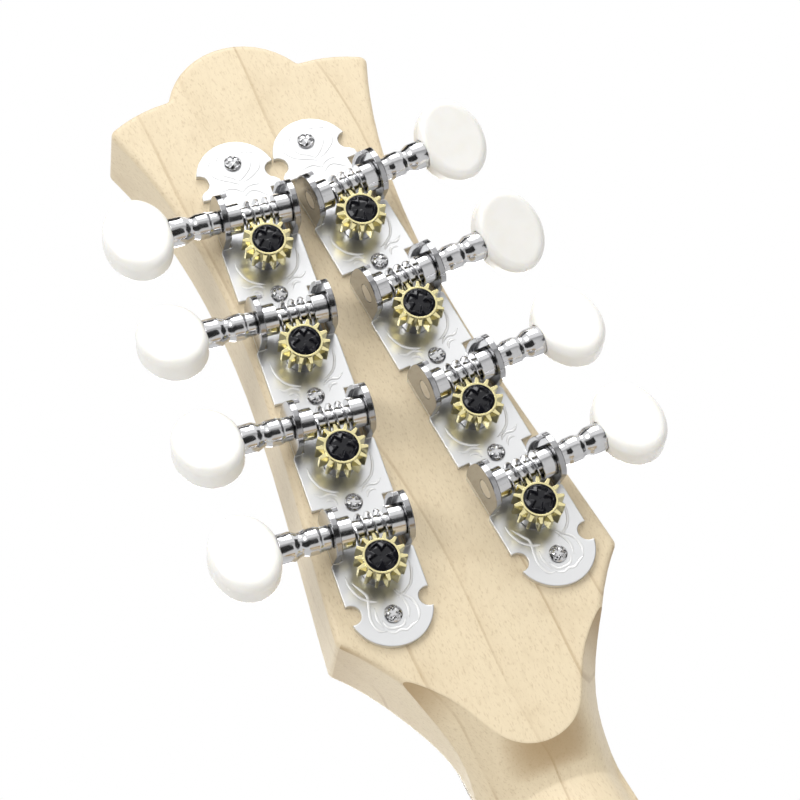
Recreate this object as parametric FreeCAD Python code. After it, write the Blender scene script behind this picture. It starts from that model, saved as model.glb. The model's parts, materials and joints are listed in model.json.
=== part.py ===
import FreeCAD, Part
import math
import os

from FreeCAD import Matrix, Placement, Rotation, Vector

# An A-style mandolin with an oval soundhole, in millimetres, standing upright with its headstock up.
# x runs across it, y from its face to its back, z up along the neck.
# The origin is where a hanger's fork carries it: on the centre plane, at the line where the fretboard
# meets the nut, on the plane between the fretboard and the neck.

# Overall
scale_length = 352.0
overrun = 2.0
running_clearance = 0.05
seat_clearance = 0.3

# Neck
neck_length = 176.0
nut_width = 27.0
nut_depth = 12.0
joint_width = 34.4
joint_depth = 15.0
heel_depth = 54.0
heel_start_up = 46.0
heel_middle_up = 18.0
heel_middle_share = 0.22
neck_section_steps = 8
neck_taper_steps = 10
tongue_length = 44.0
tongue_thickness = 2.6
flare_start_down = 2.0
flare_length = 36.0
flare_up_shares = (0.0, 0.14, 0.25, 0.365, 0.57, 1.0)
flare_width_shares = (0.0, 0.003, 0.01, 0.04, 0.2, 1.0)
flare_depth_shares = (0.0, 0.035, 0.16, 0.31, 0.5, 1.0)
flare_half_width = 33.0
flare_depth = 46.0

# Headstock
head_angle = 14.0
head_thickness = 16.5
head_length = 164.9
cusp_half_width = 13.9
cusp_drop = 8.5
corner_half_width = 27.9
corner_drop = 11.8
corner_bow = 0.9
waist_half_width = 20.5
waist_drop = 48.9
waist_upper_bow = 1.6
waist_lower_bow = 1.75
shoulder_half_width = 28.6
shoulder_up = 37.0
shoulder_bow = 3.15
shoulder_slope = 45.0
shoulder_foot_up = 6.0
head_corner_round = 1.6
head_cusp_round = 1.0
head_edge_round = 1.2
head_overlap = 14.0

# Tuner strips
tuners_per_side = 4
post_pitch = 23.0
post_half_gap = 9.8
post_up = 116.0
strip_splay = 5.15
plate_thickness = 1.0
plate_half_width = 8.0
plate_waist_half_width = 5.7
segment_above = 3.6
segment_below = 8.3
last_segment_below = 5.3
segment_round = 0.9
foot_centre_drop = 7.2
foot_tip_drop = 1.9
foot_bite = 2.3
lobe_centre_rise = 18.8
lobe_tip_rise = 1.9
lobe_bite = 1.7
lobe_foot_half_width = 7.2
lobe_foot_rise = 16.9
lobe_root_rise = 15.0
ear_thickness = 1.2
ear_inner_face = 6.4
ear_top_above_axis = 4.5
ear_tip_reach = 5.6
ear_shoulder_reach = 4.1
ear_shoulder_rise = 3.2
ear_gear_reach = 4.2
ear_side_bow = 0.9
ear_lift = 0.4
ear_root_start = 1.5
ear_flange_depth = 1.1
ear_flange_thickness = 0.9

# Plate screws
plate_screw_top_rise = 21.9
plate_screw_drop = 8.6
plate_screw_foot_drop = 8.9
plate_screw_head_radius = 1.75
plate_screw_head_height = 1.1
plate_screw_shank_radius = 1.2
plate_screw_length = 9.0
screw_dome_share = 0.7
recess_width_share = 0.6
recess_depth_share = 0.65
recess_arm_share = 0.25

# Worm gear
gear_teeth = 14
gear_root_radius = 3.3
gear_tip_radius = 4.9
gear_root_half_tooth = 0.5
gear_tip_half_tooth = 0.24
gear_height = 3.4
gear_bevel = 0.1
gear_lift = 3.15
gear_ring_radius = 3.5
gear_ring_height = 0.3
gear_ring_wall = 0.4
mesh_clearance = 0.1
thread_clearance = 0.5

# Worm shaft and button
worm_core_radius = 1.75
worm_thread_root_half = 0.36
worm_thread_tip_half = 0.17
worm_thread_sink = 0.3
worm_turns = 4.5
worm_axis_rise = 6.25
collar_length = 1.4
collar_proud = 0.05
journal_radius = 1.9
shaft_neck_radius = 1.8
shaft_neck_length = 1.7
bead_radius = 2.7
bead_start = 2.9
bead_length = 1.4
shaft_waist_radius = 1.9
shaft_waist_start = 5.4
shaft_waist_length = 0.5
shaft_end_radius = 2.95
shaft_end_start = 7.7
shaft_bow = 0.3
button_start = 17.1
button_seat_depth = 0.5
button_across = 13.4
button_along = 16.8
button_thickness = 6.1
button_round = 1.8
button_turns = {"bass": (16.4, 20.2, -4.4, -4.5), "treble": (5.1, 17.5, 17.4, 7.9)}
button_stub_radius = 1.9
button_stub_length = 7.0

# Gear screw
gear_screw_shank_radius = 1.3
gear_screw_head_height = 1.2
gear_screw_length = 9.0

# String posts and their bushings
post_radius = 3.0
post_seat_radius = 2.2
post_front_reach = 13.0
post_waist_radius = 2.5
post_waist_start = 5.0
post_waist_length = 4.0
post_end_round = 0.8
string_hole_radius = 0.8
bushing_sleeve_radius = 4.15
bushing_sleeve_length = 8.0
bushing_flange_radius = 5.5
bushing_flange_thickness = 1.0
post_hole_radius = 3.6

# Fretboard, frets and nut
fretboard_length = 247.0
fretboard_thickness = 5.0
fret_count = 20
fret_crown_height = 1.0
fret_crown_width = 2.0
fret_tang_depth = 1.6
fret_tang_width = 0.5
semitones = 12
nut_thickness = 5.0
nut_height = 7.2
nut_slot_depth = 0.7

# Strings
string_radii = (0.5, 0.5, 0.33, 0.33, 0.2, 0.2, 0.14, 0.14)
action_at_joint = 1.8
pair_pitch_nut = 6.9
pair_gap_nut = 2.0
pair_pitch_bridge = 12.3
pair_gap_bridge = 2.6
pair_pitch_tail = 8.6
pair_gap_tail = 4.0
wrap_turns = 2
wrap_gap = 0.45
wrap_front_lift = 8.0
slot_clearance = 0.1

# Body
body_length = 345.0
body_half_width = 127.5
body_angle = 5.5
body_drop = 4.0
rib_depth = 36.0
rib_thickness = 2.4
plate_edge = 4.0
outline_across_shares = (0.15, 0.33, 0.53, 0.75, 0.92, 1.0, 0.985, 0.85, 0.53)
outline_down_shares = (0.0, 0.045, 0.11, 0.23, 0.38, 0.55, 0.72, 0.87, 0.968)
plate_overhang = 2.0
top_arch = 14.0
back_arch = 13.0
arch_side_margin = 15.5
arch_tail_margin = 14.8
arch_centre_share = 0.56
arch_share = 0.3
soundhole_half_across = 29.0
soundhole_half_along = 17.0
soundhole_down = 99.0
lining_thickness = 5.0
lining_height = 7.0
neck_block_length = 26.0
tail_block_length = 18.0
block_half_width = 30.0
tone_bar_width = 6.0
tone_bar_height = 11.0
tone_bar_half_gap = 30.0
tone_bar_splay = 7.0
tone_bar_start = 128.0
tone_bar_length = 165.0

# Bridge
bridge_foot_half_width = 58.0
bridge_foot_depth = 11.0
bridge_foot_rise = 5.0
bridge_arch_half_width = 20.0
bridge_arch_rise = 2.5
bridge_stud_radius = 1.75
bridge_stud_offset = 34.0
bridge_wheel_radius = 5.5
bridge_wheel_thickness = 2.2
saddle_travel = 1.5
saddle_half_width = 52.0
saddle_depth = 7.0
saddle_top_depth = 3.0
saddle_stud_cover = 1.6
wheel_gap = 0.05

# Tailpiece and end pin
tailpiece_half_width = 21.0
tailpiece_thickness = 1.5
tailpiece_length = 58.0
tailpiece_flange = 27.0
tailpiece_leaf_gap = 0.57481
tailpiece_bend = 3.5
hook_radius = 0.9
hook_height = 3.4
hook_row_gap = 7.0
hook_back = 7.0
pin_shank_radius = 4.0
pin_head_radius = 8.0
pin_neck_radius = 5.0
pin_neck_length = 5.0
pin_head_length = 7.0
pin_head_round = 2.6
pin_shank_length = 16.0

# Worked out from the sizes above
side_names = {"bass": 1, "treble": -1}
worm_centre = gear_tip_radius + worm_core_radius + mesh_clearance
worm_thread_radius = worm_centre - gear_root_radius - thread_clearance
worm_pitch = math.pi * (gear_root_radius + gear_tip_radius) / gear_teeth
ear_outer_face = ear_inner_face + ear_thickness
gear_bottom = plate_thickness + gear_lift
gear_top = gear_bottom + gear_height
strip_length = post_pitch * (tuners_per_side - 1)
string_count = len(string_radii)
wrap_level = -head_thickness - wrap_front_lift
string_at_nut = nut_slot_depth - nut_height
string_at_bridge = (-fretboard_thickness - fret_crown_height - action_at_joint) * 2 - string_at_nut
arch_centre = -arch_centre_share * body_length
arch_across = body_half_width - arch_side_margin
arch_along = body_length + arch_centre - arch_tail_margin
arch_ball_radius = (1 + arch_share ** 2) / (2 * arch_share)
tailpiece_edge = body_length + plate_overhang + seat_clearance
tailpiece_end_share = (tailpiece_edge - tailpiece_length + arch_centre) / arch_along
arch_ball_level = math.sqrt(arch_ball_radius ** 2 - tailpiece_end_share ** 2)
arch_at_tailpiece = (arch_ball_level - arch_ball_radius + arch_share) * top_arch / arch_share
tailpiece_rise = arch_at_tailpiece + tailpiece_leaf_gap
body_depth = rib_depth + 2 * plate_edge


def head_frame():
    """The headstock's own frame: x to the right seen from behind, y to the tip, z out of its back."""
    lean = math.radians(head_angle)
    turn = Matrix()
    turn.A11, turn.A22, turn.A23 = -1, math.sin(lean), math.cos(lean)
    turn.A32, turn.A33 = math.cos(lean), -math.sin(lean)
    turn.A24 = head_thickness * math.cos(lean)
    turn.A34 = nut_thickness - head_thickness * math.sin(lean)
    return Placement(turn)


def body_frame():
    """The body's own frame: z up to the neck joint, y = 0 on the flat edge of the soundboard."""
    return Placement(Vector(0, body_drop, -neck_length), Rotation(Vector(1, 0, 0), body_angle))


def strip_frame(side):
    """A tuner strip's frame on the headstock, at its post nearest the tip."""
    here = Placement(Vector(side * post_half_gap, post_up, 0), Rotation(Vector(0, 0, 1), side * strip_splay))
    return head_frame().multiply(here)


def tuner_frame(side, index):
    """One tuner's frame, at its post."""
    return strip_frame(side).multiply(Placement(Vector(0, -index * post_pitch, 0), Rotation()))


def placed(shape, frame):
    """A copy of a shape, moved from its own frame."""
    copy = shape.copy()
    copy.Placement = frame.multiply(copy.Placement)
    return copy


def save(node, *shapes):
    """Write one sub-part, of one or more solids."""
    solids = [solid for shape in shapes for solid in shape.Solids]
    whole = solids[0] if len(solids) == 1 else Part.makeCompound(solids)
    whole.exportStep("parts/" + node + ".step")


def rod(radius, start, end):
    """A round bar from one point to another."""
    return Part.makeCylinder(radius, (end - start).Length, start, end - start)


def bowed(start, end, bow):
    """An arc between two points, bowed to the left of the way from start to end in the x-y plane."""
    way = end - start
    side = Vector(-way.y, way.x, 0).normalize()
    return Part.Arc(start, (start + end) / 2 + side * bow, end).toShape()


def line(start, end):
    return Part.LineSegment(start, end).toShape()


def mirrored(edges):
    """The same edges on the other side of x = 0."""
    return [edge.mirror(Vector(0, 0, 0), Vector(1, 0, 0)) for edge in edges]


def prism(edges, direction):
    """A solid swept straight from a closed outline."""
    wire = Part.Wire(Part.__sortEdges__(edges))
    return Part.Face(wire).extrude(direction)


def polygon(points):
    """A flat face with straight sides between its corners."""
    return Part.Face(Part.makePolygon(points + points[:1]))


def turned(points):
    """A solid turned from a closed outline, about the upright line through its first point."""
    return polygon(points).revolve(points[0], Vector(0, 0, 1), 360)


def block(low, high):
    """A box between two corners."""
    size = high - low
    return Part.makeBox(size.x, size.y, size.z, low)


def oval_face(centre, half_across, half_up):
    """An upright oval face, wider along x than along z."""
    oval = Part.Ellipse(centre + Vector(half_across, 0, 0), centre + Vector(0, 0, half_up), centre)
    return Part.Face(Part.Wire(oval.toShape()))


def curve(points, first_way=None, last_way=None):
    """A smooth edge through points, with its end directions where they are given."""
    spline = Part.BSplineCurve()
    if first_way:
        spline.interpolate(Points=points, InitialTangent=first_way, FinalTangent=last_way)
    else:
        spline.interpolate(points)
    return spline.toShape()


def headstock_edges():
    """The headstock's outline, seen from behind: a domed crown, two horns, a waist and two shoulders."""
    foot = Vector(nut_width / 2, -head_overlap, 0)
    neck = Vector(nut_width / 2, shoulder_foot_up, 0)
    shoulder = Vector(shoulder_half_width, shoulder_up, 0)
    waist = Vector(waist_half_width, head_length - waist_drop, 0)
    corner = Vector(corner_half_width, head_length - corner_drop, 0)
    cusp = Vector(cusp_half_width, head_length - cusp_drop, 0)
    crown = Vector(0, head_length, 0)
    far_cusp = Vector(-cusp.x, cusp.y, 0)
    shoulder_middle = (neck + shoulder) / 2 - Vector(shoulder_bow, 0, 0)
    lower_middle = (shoulder + waist) / 2 - Vector(waist_lower_bow, 0, 0)
    upper_middle = (waist + corner) / 2 - Vector(waist_upper_bow, 0, 0)
    slope = math.radians(shoulder_slope)
    under_shoulder = curve([neck, shoulder_middle, shoulder], Vector(0, 1, 0),
                           Vector(math.sin(slope), math.cos(slope), 0))
    half = [line(foot, neck), under_shoulder, curve([shoulder, lower_middle, waist, upper_middle, corner]),
            bowed(corner, cusp, -corner_bow)]
    base = line(Vector(-foot.x, foot.y, 0), foot)
    return half + mirrored(half) + [Part.Arc(cusp, crown, far_cusp).toShape(), base]


def upright_edges(shape, places):
    """A slab's edges through its thickness that lie this far from its centre line."""
    found = []
    for edge in shape.Edges:
        offset = min(abs(abs(edge.CenterOfMass.x) - place) for place in places)
        if edge.BoundBox.ZLength > running_clearance and offset < running_clearance:
            found.append(edge)
    return found


def headstock():
    """The headstock's slab of wood, in its own frame, its back face at z = 0, rounded on every edge."""
    slab = prism(headstock_edges(), Vector(0, 0, -head_thickness))
    slab = slab.makeFillet(head_corner_round, upright_edges(slab, [corner_half_width, shoulder_half_width]))
    slab = slab.makeFillet(head_cusp_round, upright_edges(slab, [cusp_half_width]))
    rims = []
    for edge in slab.Edges:
        box = edge.BoundBox
        if box.ZLength < running_clearance and box.YMax > running_clearance + shoulder_foot_up:
            rims.append(edge)
    return slab.makeFillet(head_edge_round, rims)


def neck_section(level, half_width, depth):
    """One D-shaped outline of the neck: flat under the fretboard, round behind."""
    points = []
    for step in range(neck_section_steps + 1):
        angle = math.pi * step / neck_section_steps
        points.append(Vector(half_width * math.cos(angle), depth * math.sin(angle), level))
    back = curve(points, Vector(0, 1, 0), Vector(0, -1, 0))
    return Part.Wire([back, line(points[-1], points[0])])


def flare():
    """What is left round the headstock where the neck's round back runs out into it."""
    sections = []
    for up, across, deep in zip(flare_up_shares, flare_width_shares, flare_depth_shares):
        sections.append(neck_section(flare_length * up - flare_start_down,
                                     nut_width / 2 + (flare_half_width - nut_width / 2) * across,
                                     nut_depth + (flare_depth - nut_depth) * deep))
    around = block(Vector(-flare_half_width, -head_thickness, -flare_start_down - head_overlap),
                   Vector(flare_half_width, flare_depth, flare_length - flare_start_down))
    return around.cut(Part.makeLoft(sections, True))


def neck_shaft():
    """The neck from the nut down to the heel, whose end lies flat on the body."""
    heel_top = heel_start_up - neck_length
    heel_middle = heel_middle_up - neck_length
    middle_depth = joint_depth + (heel_depth - joint_depth) * heel_middle_share
    sections = []
    for step in range(neck_taper_steps + 1):
        down = step / neck_taper_steps
        sections.append(neck_section(nut_thickness + (heel_top - nut_thickness) * down,
                                     (nut_width + (joint_width - nut_width) * down) / 2,
                                     nut_depth + (joint_depth - nut_depth) * down))
    sections.append(neck_section(heel_middle, joint_width / 2, middle_depth))
    sections.append(neck_section(-neck_length - 2 * overrun, joint_width / 2, heel_depth))
    shaft = Part.makeLoft(sections, True)
    below = block(Vector(-joint_width, -heel_depth, -heel_depth),
                  Vector(joint_width, heel_depth + body_depth, 0))
    shaft = shaft.cut(placed(below, body_frame()))
    floor = Vector(-joint_width / 2, 0, -neck_length - tongue_length)
    tongue = block(floor, Vector(joint_width / 2, tongue_thickness, -neck_length + overrun))
    return shaft.fuse(tongue)


def screw_places():
    """The places of one strip's screws, along the strip."""
    places = [plate_screw_top_rise]
    for index in range(tuners_per_side - 1):
        places.append(-index * post_pitch - plate_screw_drop)
    return places + [-strip_length - plate_screw_foot_drop]


def neck():
    """The neck and headstock, one piece of maple, with the holes for posts, bushings and screws."""
    under_nut = block(Vector(-flare_half_width, -head_thickness, -2 * head_overlap),
                      Vector(flare_half_width, 0, nut_thickness))
    wood = placed(headstock(), head_frame()).cut(under_nut).cut(flare()).fuse(neck_shaft())
    cutters = []
    for side in side_names.values():
        for index in range(tuners_per_side):
            through = rod(post_hole_radius, Vector(0, 0, overrun), Vector(0, 0, -head_thickness - overrun))
            counterbore = rod(bushing_sleeve_radius, Vector(0, 0, bushing_sleeve_length - head_thickness),
                              Vector(0, 0, -head_thickness - overrun))
            cutters.append(placed(through.fuse(counterbore), tuner_frame(side, index)))
        for place in screw_places():
            pilot = rod(plate_screw_shank_radius, Vector(0, place, -plate_screw_length),
                        Vector(0, place, overrun))
            cutters.append(placed(pilot, strip_frame(side)))
    return wood.cut(Part.makeCompound(cutters)).removeSplitter()


def plate_half_edges():
    """One long edge of a tuner strip's plate, from its lobe at the tip down to its foot."""
    edges = []
    lobe_tip_x = math.sqrt(plate_half_width ** 2 - lobe_tip_rise ** 2)
    top = Vector(0, lobe_centre_rise + plate_half_width, 0)
    tip = Vector(lobe_tip_x, lobe_centre_rise + lobe_tip_rise, 0)
    middle = Vector(plate_half_width * math.cos(math.radians(45)),
                    lobe_centre_rise + plate_half_width * math.sin(math.radians(45)), 0)
    lobe_foot = Vector(lobe_foot_half_width, lobe_foot_rise, 0)
    root = Vector(plate_half_width, lobe_foot_rise - (plate_half_width - lobe_foot_half_width), 0)
    root_end = Vector(plate_half_width, lobe_root_rise, 0)
    edges.append(Part.Arc(top, middle, tip).toShape())
    edges.append(bowed(tip, lobe_foot, -lobe_bite))
    edges.append(line(lobe_foot, root))
    edges.append(line(root, root_end))
    last = root_end
    for index in range(tuners_per_side):
        post = -index * post_pitch
        below = last_segment_below if index == tuners_per_side - 1 else segment_below
        waist_top = Vector(plate_waist_half_width, last.y, 0)
        waist_foot = Vector(plate_waist_half_width, post + segment_above, 0)
        shoulder = Vector(plate_half_width - segment_round, post + segment_above, 0)
        side_top = Vector(plate_half_width, post + segment_above - segment_round, 0)
        side_foot = Vector(plate_half_width, post - below, 0)
        edges += [line(last, waist_top), line(waist_top, waist_foot), line(waist_foot, shoulder),
                  bowed(shoulder, side_top, segment_round * (math.sqrt(2) - 1) / math.sqrt(2)),
                  line(side_top, side_foot)]
        last = side_foot
    foot_centre = Vector(0, -strip_length - foot_centre_drop, 0)
    foot_tip = foot_centre + Vector(math.sqrt(plate_half_width ** 2 - foot_tip_drop ** 2), -foot_tip_drop, 0)
    foot_middle = foot_centre + Vector(plate_half_width, -plate_half_width, 0) * math.sqrt(0.5)
    foot_end = foot_centre - Vector(0, plate_half_width, 0)
    edges.append(bowed(last, foot_tip, -foot_bite))
    edges.append(Part.Arc(foot_tip, foot_middle, foot_end).toShape())
    return edges


def ear():
    """One ear of a tuner, bent up from the plate, with its curled flange and the worm shaft's bearing."""
    root = Vector(0, worm_centre + ear_tip_reach, ear_lift)
    shoulder = Vector(0, worm_centre + ear_shoulder_reach, worm_axis_rise + ear_shoulder_rise)
    gear_side = Vector(0, worm_centre - ear_gear_reach, worm_axis_rise)
    gear_foot = Vector(0, worm_centre - ear_gear_reach + ear_side_bow, ear_lift)
    top = Vector(0, worm_centre, worm_axis_rise + ear_top_above_axis)
    side_middle = (root + shoulder) / 2 + Vector(0, ear_side_bow, 0)
    side = Part.Arc(root, side_middle, shoulder).toShape()
    outline = [side, Part.Arc(shoulder, top, gear_side).toShape(),
               line(gear_side, gear_foot), line(gear_foot, root)]
    leaf = Part.Face(Part.Wire(outline)).extrude(Vector(ear_thickness, 0, 0))
    step = Vector(0, -ear_flange_thickness, 0)
    curl = [side, line(shoulder, shoulder + step),
            Part.Arc(root + step, side_middle + step, shoulder + step).toShape(), line(root + step, root)]
    flange = Part.Face(Part.Wire(Part.__sortEdges__(curl))).extrude(Vector(-ear_flange_depth, 0, 0))
    shape = leaf.fuse(flange)
    shape.translate(Vector(ear_inner_face, 0, 0))
    fold = block(Vector(plate_waist_half_width, worm_centre + ear_root_start, 0),
                 Vector(ear_outer_face, worm_centre + ear_tip_reach, plate_thickness))
    return shape.fuse(fold)


def ear_bearing():
    """The hole through both of a tuner's ears."""
    reach = ear_outer_face + overrun
    return rod(journal_radius + running_clearance, Vector(-reach, worm_centre, worm_axis_rise),
               Vector(reach, worm_centre, worm_axis_rise))


def tuner_plate():
    """A tuner strip's plate with its ears and holes, pressed from one sheet."""
    half = plate_half_edges()
    plate = prism(half + mirrored(half), Vector(0, 0, plate_thickness))
    leaves = []
    holes = []
    for index in range(tuners_per_side):
        step = Vector(0, -index * post_pitch, 0)
        for leaf in (ear(), ear().mirror(Vector(0, 0, 0), Vector(1, 0, 0))):
            leaf.translate(step)
            leaves.append(leaf)
        bearing = ear_bearing()
        bearing.translate(step)
        holes.append(bearing)
        through = Vector(0, 0, overrun)
        holes.append(rod(post_radius + running_clearance, step - through, step + through))
    for place in screw_places():
        holes.append(rod(plate_screw_shank_radius, Vector(0, place, -overrun), Vector(0, place, overrun)))
    return plate.multiFuse(leaves).cut(Part.makeCompound(holes)).removeSplitter()


def domed_head(radius, height, level):
    """A screw head: a short drum under a low dome, its seat at the given level."""
    dome = height * screw_dome_share
    ball_radius = (radius ** 2 + dome ** 2) / (2 * dome)
    ball = Part.makeSphere(ball_radius, Vector(0, 0, level + height - ball_radius))
    drum = rod(radius, Vector(0, 0, level), Vector(0, 0, level + height))
    return drum.common(ball)


def cross_recess(head_radius, head_height, top):
    """The cross-shaped driver recess of a screw head."""
    reach = head_radius * recess_width_share
    arm = reach * recess_arm_share
    depth = head_height * recess_depth_share
    one = block(Vector(-reach, -arm, top - depth), Vector(reach, arm, top + depth))
    other = block(Vector(-arm, -reach, top - depth), Vector(arm, reach, top + depth))
    return one.fuse(other)


def plate_screw():
    """A small domed wood screw that holds the plate, its head on the plate."""
    head = domed_head(plate_screw_head_radius, plate_screw_head_height, plate_thickness)
    shank = rod(plate_screw_shank_radius, Vector(0, 0, plate_screw_shank_radius - plate_screw_length),
                Vector(0, 0, plate_thickness))
    point = Part.makeCone(0, plate_screw_shank_radius, plate_screw_shank_radius,
                          Vector(0, 0, -plate_screw_length), Vector(0, 0, 1))
    recess = cross_recess(plate_screw_head_radius, plate_screw_head_height,
                          plate_thickness + plate_screw_head_height)
    return head.fuse(shank).fuse(point).cut(recess).removeSplitter()


def gear():
    """The brass worm gear, with bevelled teeth and a thin ring round the screw's seat."""
    root, tip = (gear_root_radius, gear_root_half_tooth), (gear_tip_radius, gear_tip_half_tooth)
    corners = []
    for tooth in range(gear_teeth):
        middle = math.pi / 2 + 2 * math.pi * tooth / gear_teeth
        for way, (radius, half) in ((-1, root), (-1, tip), (1, tip), (1, root)):
            angle = middle + way * math.asin(half / radius)
            corners.append(Vector(radius * math.cos(angle), radius * math.sin(angle), gear_bottom))
    toothed = polygon(corners).extrude(Vector(0, 0, gear_height))
    rim = gear_tip_radius + mesh_clearance
    bevelled = turned([Vector(0, 0, gear_bottom), Vector(rim, 0, gear_bottom),
                       Vector(rim, 0, gear_top - gear_bevel), Vector(gear_ring_radius, 0, gear_top),
                       Vector(0, 0, gear_top)])
    ring_height = Vector(0, 0, gear_ring_height)
    face = Vector(0, 0, gear_top)
    above = Vector(0, 0, gear_top + overrun)
    ring = rod(gear_ring_radius, face - ring_height, face + ring_height)
    seat = rod(gear_ring_radius - gear_ring_wall, face, above)
    bore = rod(post_seat_radius, Vector(0, 0, gear_bottom - overrun), above)
    return toothed.common(bevelled).fuse(ring).cut(seat).cut(bore).removeSplitter()


def string_post():
    """The post from the gear through the headstock, with its string hole at the front."""
    front = -head_thickness - post_front_reach
    waist_top = -head_thickness - post_waist_start
    waist_foot = waist_top - post_waist_length
    shoulder = post_radius - post_waist_radius
    outline = [Vector(0, 0, front), Vector(post_radius - post_end_round, 0, front),
               Vector(post_radius, 0, front + post_end_round), Vector(post_radius, 0, waist_foot),
               Vector(post_waist_radius, 0, waist_foot + shoulder),
               Vector(post_waist_radius, 0, waist_top - shoulder),
               Vector(post_radius, 0, waist_top), Vector(post_radius, 0, gear_bottom),
               Vector(post_seat_radius, 0, gear_bottom), Vector(post_seat_radius, 0, gear_top),
               Vector(0, 0, gear_top)]
    post = turned(outline)
    level = (waist_top + waist_foot) / 2
    reach = post_radius + overrun
    hole = rod(string_hole_radius, Vector(-reach, 0, level), Vector(reach, 0, level))
    tapped = rod(gear_screw_shank_radius, Vector(0, 0, gear_top - gear_screw_length),
                 Vector(0, 0, gear_top + overrun))
    return post.cut(hole).cut(tapped).removeSplitter()


def gear_screw():
    """The black screw that holds the gear on the post."""
    radius = gear_ring_radius - gear_ring_wall - running_clearance
    head = domed_head(radius, gear_screw_head_height, gear_top)
    shank = rod(gear_screw_shank_radius, Vector(0, 0, gear_top - gear_screw_length), Vector(0, 0, gear_top))
    recess = cross_recess(radius, gear_screw_head_height, gear_top + gear_screw_head_height)
    return head.fuse(shank).cut(recess).removeSplitter()


def worm_thread():
    """The worm's thread about the z axis, with a groove at mid length on its -x side."""
    length = worm_turns * worm_pitch
    path = Part.makeHelix(worm_pitch, length, worm_thread_radius)
    inner = worm_core_radius - worm_thread_sink
    root, tip = Vector(0, 0, worm_thread_root_half), Vector(0, 0, worm_thread_tip_half)
    foot, crest = Vector(inner, 0, 0), Vector(worm_thread_radius, 0, 0)
    corners = [foot - root, crest - tip, crest + tip, foot + root]
    profile = Part.makePolygon(corners + corners[:1])
    thread = Part.Wire(path.Edges).makePipeShell([profile], True, True)
    thread.translate(Vector(0, 0, -length / 2))
    thread.rotate(Vector(0, 0, 0), Vector(0, 0, 1), -180 * worm_turns)
    return thread


def worm_shaft():
    """The worm shaft about the z axis: journals, collars and thread, then its turned end to the button."""
    collar_radius = worm_thread_radius + collar_proud
    collar_end = ear_inner_face - running_clearance
    collar_start = collar_end - collar_length
    outside = ear_outer_face + running_clearance
    shaft_end = button_start + button_seat_depth
    stub_end = button_start + button_stub_length
    bands = [(-ear_outer_face, journal_radius), (-collar_end, journal_radius), (-collar_end, collar_radius),
             (-collar_start, collar_radius), (-collar_start, worm_core_radius),
             (collar_start, worm_core_radius), (collar_start, collar_radius),
             (collar_end, collar_radius), (collar_end, journal_radius),
             (outside, journal_radius), (outside + shaft_bow, shaft_neck_radius),
             (outside + shaft_neck_length, shaft_neck_radius), (outside + bead_start, bead_radius),
             (outside + bead_start + bead_length, bead_radius),
             (outside + shaft_waist_start, shaft_waist_radius),
             (outside + shaft_waist_start + shaft_waist_length, shaft_waist_radius),
             (outside + shaft_end_start, shaft_end_radius), (shaft_end, shaft_end_radius),
             (shaft_end, button_stub_radius), (stub_end, button_stub_radius)]
    outline = [Vector(0, 0, -ear_outer_face)]
    outline += [Vector(radius, 0, place) for place, radius in bands]
    outline += [Vector(0, 0, stub_end)]
    return turned(outline).fuse(worm_thread()).removeSplitter()


def button():
    """The oval button about the z axis, with soft edges and a socket for the shaft."""
    centre = Vector(0, -button_thickness / 2, button_start + button_across / 2)
    disc = oval_face(centre, button_along / 2, button_across / 2).extrude(Vector(0, button_thickness, 0))
    rims = [edge for edge in disc.Edges if edge.BoundBox.YLength < running_clearance]
    disc = disc.makeFillet(button_round, rims)
    seat = rod(shaft_end_radius, Vector(0, 0, 0), Vector(0, 0, button_start + button_seat_depth))
    socket = rod(button_stub_radius, Vector(0, 0, 0), Vector(0, 0, button_start + button_stub_length))
    return disc.cut(seat).cut(socket)


def key_frame(side):
    """A key's frame in its tuner's frame: its z axis points outwards along the worm shaft."""
    turn = Matrix()
    turn.A11, turn.A22, turn.A33 = 0, 0, 0
    turn.A13, turn.A21, turn.A32 = side, 1, side
    turn.A24, turn.A34 = worm_centre, worm_axis_rise
    return Placement(turn)


def bushing():
    """The ferrule pressed into the headstock's face round a post."""
    face = -head_thickness
    sleeve = rod(bushing_sleeve_radius, Vector(0, 0, face), Vector(0, 0, face + bushing_sleeve_length))
    flange = rod(bushing_flange_radius, Vector(0, 0, face - bushing_flange_thickness), Vector(0, 0, face))
    bore = rod(post_radius + running_clearance, Vector(0, 0, face - bushing_flange_thickness - overrun),
               Vector(0, 0, face + bushing_sleeve_length + overrun))
    return sleeve.fuse(flange).cut(bore).removeSplitter()


def save_tuners():
    """All eight tuners, the two strips and their screws."""
    post, wheel, screw = string_post(), gear(), gear_screw()
    shaft, knob, ferrule = worm_shaft(), button(), bushing()
    strip, small_screw = tuner_plate(), plate_screw()
    screws = []
    ferrules = []
    for name, side in side_names.items():
        for index in range(tuners_per_side):
            here = tuner_frame(side, index)
            key = here.multiply(key_frame(side))
            turn = Placement(Vector(), Rotation(Vector(0, 0, 1), button_turns[name][index]))
            number = "_" + name + "_" + str(index + 1)
            save("string_post" + number, placed(post, here))
            save("gear" + number, placed(wheel, here))
            save("gear_screw" + number, placed(screw, here))
            save("worm_shaft" + number, placed(shaft, key))
            save("button" + number, placed(knob, key.multiply(turn)))
            ferrules.append(placed(ferrule, here))
        for place in screw_places():
            own = strip_frame(side).multiply(Placement(Vector(0, place, 0), Rotation()))
            screws.append(placed(small_screw, own))
        save("tuner_plate_" + name, placed(strip, strip_frame(side)))
    save("plate_screws", *screws)
    save("post_bushings", *ferrules)


def board_half_width(down):
    """Half the fretboard's width at a distance below the nut."""
    return (nut_width + (joint_width - nut_width) * down / neck_length) / 2


def fret_places():
    """How far below the nut each fret lies."""
    return [scale_length * (1 - 2 ** (-(number + 1) / semitones)) for number in range(fret_count)]


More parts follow.
